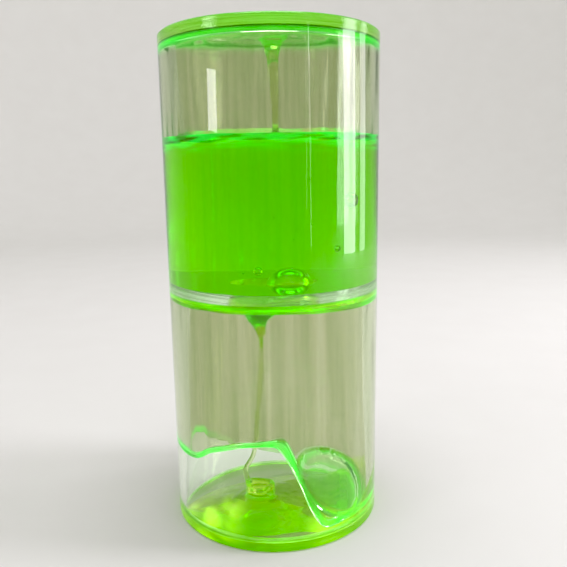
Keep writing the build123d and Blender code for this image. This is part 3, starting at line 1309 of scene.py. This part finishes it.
@dataclass
class Studio:
    """Pale bowl-shaped stage, soft lights and the camera.

    Attributes:
        radius: distance from the tube to the wall of the stage.
        sweep: radius of the curve between the floor and the wall.
        height: height of the wall.
        eye: place of the camera.
        pitch: degrees that it looks down.
        yaw: degrees that it is turned to the right.
        roll: degrees that it leans.
        lens: focal length in millimetres, on a square sensor 36 mm wide.
        black: red, green and blue that count as black, which keeps the goo's colour pure.
        exposure: brightness of the picture, in stops.
        air: colour of the room's even light.
        air_strength: its strength.
        panels: the lights that stand round the tube, upright and facing it.
        overhead: the light over it.
    """

    radius: float = 1.3
    sweep: float = 0.5
    height: float = 1.6
    eye: tuple[float, float, float] = (-0.00034, -0.18938, 0.10681)
    pitch: float = 10.594
    yaw: float = 1.049
    roll: float = -0.905
    lens: float = 39.185
    black: Colour = (0.05, 0.02, 0.075)
    exposure: float = -0.18
    air: Colour = (1.0, 0.985, 0.975)
    air_strength: float = 0.44
    panels: tuple[Panel, ...] = (
        Panel("window_right", size=(0.22, 0.8), height=0.4, power=5.0, azimuth=86.0, away=0.75),
        Panel("window_right_rear", size=(0.13, 0.8), height=0.4, power=1.3, azimuth=107.0, away=0.75),
        Panel("slit_right", size=(0.016, 0.8), height=0.4, power=0.16, azimuth=39.0, away=0.9),
        Panel("window_left", size=(0.14, 0.12), height=0.305, power=0.55, azimuth=-59.0, away=0.8),
    )
    overhead: Panel = Panel("overhead", size=(0.8, 0.8), height=1.5, power=9.0)

    def build(self) -> None:
        """Build the stage, the lights and the camera."""
        self.stage()
        self.lights()
        self.camera()

    def stage(self) -> None:
        """Build the floor and the wall round it as one smooth bowl."""
        bend = [
            (self.radius - self.sweep + self.sweep * math.sin(a), self.sweep * (1.0 - math.cos(a)))
            for a in (math.pi / 2 * step / 16 for step in range(17))
        ]
        bm = bmesh.new()
        turn(bm, [(0.0, 0.0), *bend, (self.radius, self.height)], closed=False, steps=96)
        bmesh.ops.translate(bm, verts=bm.verts, vec=(0.0, 0.0, -HAIR_GAP))
        mesh = bpy.data.meshes.new("stage")
        bm.to_mesh(mesh)
        bm.free()
        mesh.shade_smooth()
        material = bpy.data.materials.new("pale_stage")
        material.use_nodes = True
        tree = material.node_tree
        spot = add(tree, "TexCoord").outputs["Object"]
        grain = add(tree, "TexNoise", {"Scale": 30.0, "Vector": spot}).outputs["Fac"]
        colour = mix(tree, grain, (0.80, 0.785, 0.775), (0.83, 0.82, 0.81))
        look = {"Roughness": 0.8, "Specular IOR Level": 0.05, "Base Color": colour}
        fill(tree, tree.nodes["Principled BSDF"], look)
        mesh.materials.append(material)
        floor = bpy.data.objects.new("stage", mesh)
        bpy.context.scene.collection.objects.link(floor)

    def lights(self) -> None:
        """Hang the soft lights and set the even light of the room."""
        world = bpy.data.worlds.new("room")
        world.use_nodes = True
        background = world.node_tree.nodes["Background"]
        fill(world.node_tree, background, {"Color": self.air, "Strength": self.air_strength})
        bpy.context.scene.world = world
        for panel in self.panels:
            angle = math.radians(panel.azimuth)
            spot = Vector((panel.away * math.sin(angle), -panel.away * math.cos(angle), panel.height))
            facing = Vector((-spot.x, -spot.y, 0.0)).to_track_quat("-Z", "Y")
            self.hang(panel, Matrix.Translation(spot) @ facing.to_matrix().to_4x4())
        self.hang(self.overhead, Matrix.Translation((0.0, 0.0, self.overhead.height)))

    @staticmethod
    def hang(panel: Panel, matrix: Matrix) -> None:
        """Hang a panel, which lights the tube but stays out of the picture.

        Args:
            panel: the panel.
            matrix: where it hangs, with its front towards its own -Z.
        """
        light = bpy.data.lights.new(panel.name, "AREA")
        light.shape = "RECTANGLE"
        light.size, light.size_y = panel.size
        light.energy = panel.power
        lamp = bpy.data.objects.new(panel.name, light)
        lamp.matrix_world = matrix
        lamp.visible_camera = False
        bpy.context.scene.collection.objects.link(lamp)

    def camera(self) -> None:
        """Set up the camera and the plain colour response."""
        data = bpy.data.cameras.new("camera")
        data.sensor_width = 36.0
        data.lens = self.lens
        data.clip_start = 0.01
        data.clip_end = 20.0
        camera = bpy.data.objects.new("camera", data)
        turned = Matrix.Rotation(math.radians(-self.yaw), 4, "Z")
        tipped = Matrix.Rotation(math.radians(90.0 - self.pitch), 4, "X")
        leant = Matrix.Rotation(math.radians(self.roll), 4, "Z")
        camera.matrix_world = Matrix.Translation(self.eye) @ turned @ tipped @ leant
        scene = bpy.context.scene
        scene.collection.objects.link(camera)
        scene.camera = camera
        scene.view_settings.view_transform = "Standard"
        scene.view_settings.exposure = self.exposure
        scene.view_settings.use_curve_mapping = True
        scene.view_settings.curve_mapping.black_level = self.black
        scene.view_settings.curve_mapping.update()
        scene.cycles.max_bounces = scene.cycles.transmission_bounces = 32
        scene.cycles.glossy_bounces = 8


def main() -> None:
    """Build every sub-assembly."""
    logging.basicConfig(level=logging.INFO, format="%(name)s: %(message)s")
    for assembly in (Shell(), UpperGoo(), FallingGoo(), LowerGoo(), Studio()):
        assembly.build()
        LOG.info("%s done", type(assembly).__name__)


if __name__ == "__main__":
    main()
